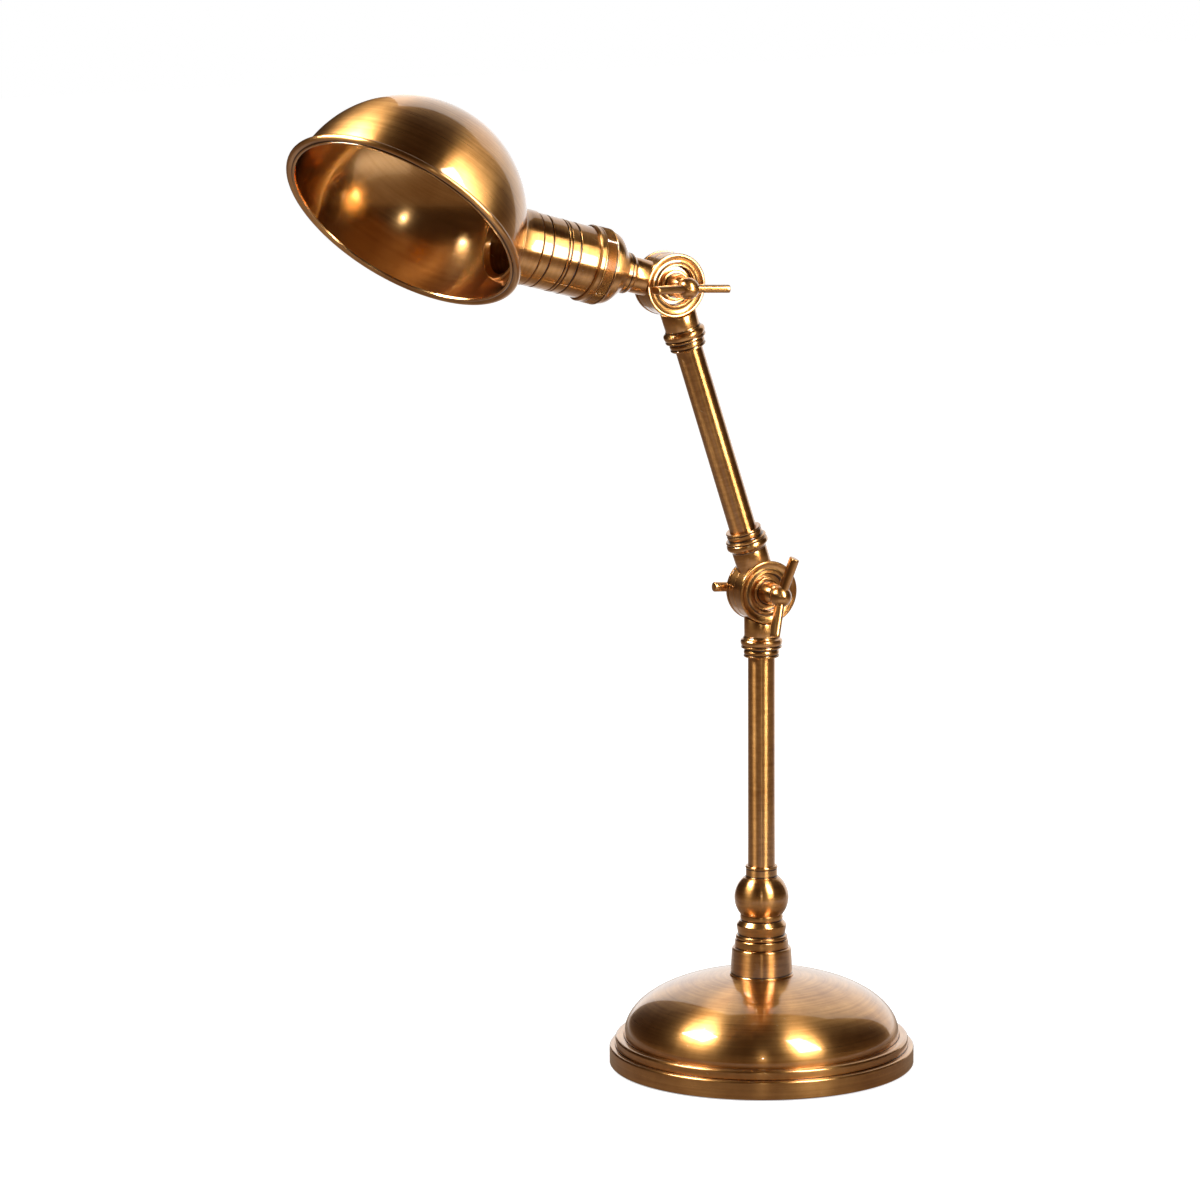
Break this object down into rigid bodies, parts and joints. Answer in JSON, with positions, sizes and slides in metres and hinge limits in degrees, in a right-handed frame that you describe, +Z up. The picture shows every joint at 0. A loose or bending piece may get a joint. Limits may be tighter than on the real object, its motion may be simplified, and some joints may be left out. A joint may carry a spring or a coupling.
{
  "type": "desk lamp",
  "caption": "Jointed aged-brass desk lamp: weighted domed base, turned stem, two tubes with lever-clamped drum joints, ribbed lampholder and hemispherical shade",
  "frame": {"origin": "centre of the felt's underside, on the table", "axes": "+Z up along the stem; the arm swings in the XZ plane and the head reaches towards -X; the joints' front levers face -Y"},
  "size_m": [0.3751, 0.18, 0.5839],
  "materials": {
    "aged_brass": "circumferentially brushed, antiqued brown-gold, clear lacquered",
    "cast_weight": "sand-cast, painted black",
    "felt": "pressed black felt",
    "grommet": "moulded",
    "steel_fittings": "zinc plated",
    "porcelain": "white glaze",
    "screw_shell_brass": "rolled bright",
    "friction_fibre": "pressed fibre"
  },
  "bodies": {
    "base": {"felt_pad": "felt", "base_shell": "aged_brass", "base_weight": "cast_weight", "cable_grommet": "grommet", "base_washer": "steel_fittings", "base_nut": "steel_fittings", "stem_pipe": "steel_fittings", "stem_cup": "aged_brass", "stem_rings": "aged_brass", "stem_ball": "aged_brass", "tube_collar": "aged_brass", "post_tube": "aged_brass", "post_ferrule": "aged_brass", "post_knuckle": "aged_brass", "lower_rear_washer": "aged_brass", "lower_friction_disc": "friction_fibre"},
    "arm": {"arm_lower_knuckle": "aged_brass", "lower_front_washer": "aged_brass", "arm_lower_ferrule": "aged_brass", "arm_tube": "aged_brass", "arm_upper_ferrule": "aged_brass", "arm_upper_knuckle": "aged_brass", "upper_rear_washer": "aged_brass", "upper_friction_disc": "friction_fibre"},
    "lower_rear_screw": {"lower_clamp_bolt": "aged_brass"},
    "lower_front_nut": {"lower_lever_nut": "aged_brass"},
    "upper_rear_screw": {"upper_clamp_bolt": "aged_brass"},
    "upper_front_nut": {"upper_lever_nut": "aged_brass"},
    "head": {"head_knuckle": "aged_brass", "upper_front_washer": "aged_brass", "head_nipple": "steel_fittings", "cap_collar": "aged_brass", "socket_cap": "aged_brass", "knurled_ring": "aged_brass", "cap_lock_nut": "steel_fittings"},
    "shade_unit": {"socket_sleeve": "aged_brass", "swivel_clip": "steel_fittings", "lampholder": "porcelain", "screw_shell": "screw_shell_brass", "centre_contact": "steel_fittings", "shade_fitter": "aged_brass", "shade": "aged_brass", "shade_ring": "aged_brass"}
  },
  "joints": [
    {"name": "lower_tilt", "type": "hinge", "parent": "base", "child": "arm", "pos_m": [0, 0, 0.28419], "axis": [0, -1, 0], "range_deg": [-108, 72]},
    {"name": "upper_tilt", "type": "hinge", "parent": "arm", "child": "head", "pos_m": [-0.05964, 0, 0.46774], "axis": [0, -1, 0], "range_deg": [-166, 54]},
    {"name": "shade_turn", "type": "hinge", "parent": "head", "child": "shade_unit", "pos_m": [-0.11491, 0, 0.48359], "axis": [-0.9613, 0, 0.2756], "range_deg": [-160, 160]},
    {"name": "lower_screw_turn", "type": "hinge", "parent": "base", "child": "lower_rear_screw", "pos_m": [0, 0, 0.28419], "axis": [0, -1, 0], "range_deg": [-90, 90]},
    {"name": "lower_nut_turn", "type": "hinge", "parent": "arm", "child": "lower_front_nut", "pos_m": [0, 0, 0.28419], "axis": [0, -1, 0], "range_deg": [-90, 90]},
    {"name": "upper_screw_turn", "type": "hinge", "parent": "arm", "child": "upper_rear_screw", "pos_m": [-0.05964, 0, 0.46774], "axis": [0, -1, 0], "range_deg": [-90, 90]},
    {"name": "upper_nut_turn", "type": "hinge", "parent": "head", "child": "upper_front_nut", "pos_m": [-0.05964, 0, 0.46774], "axis": [0, -1, 0], "range_deg": [-90, 90]}
  ]
}
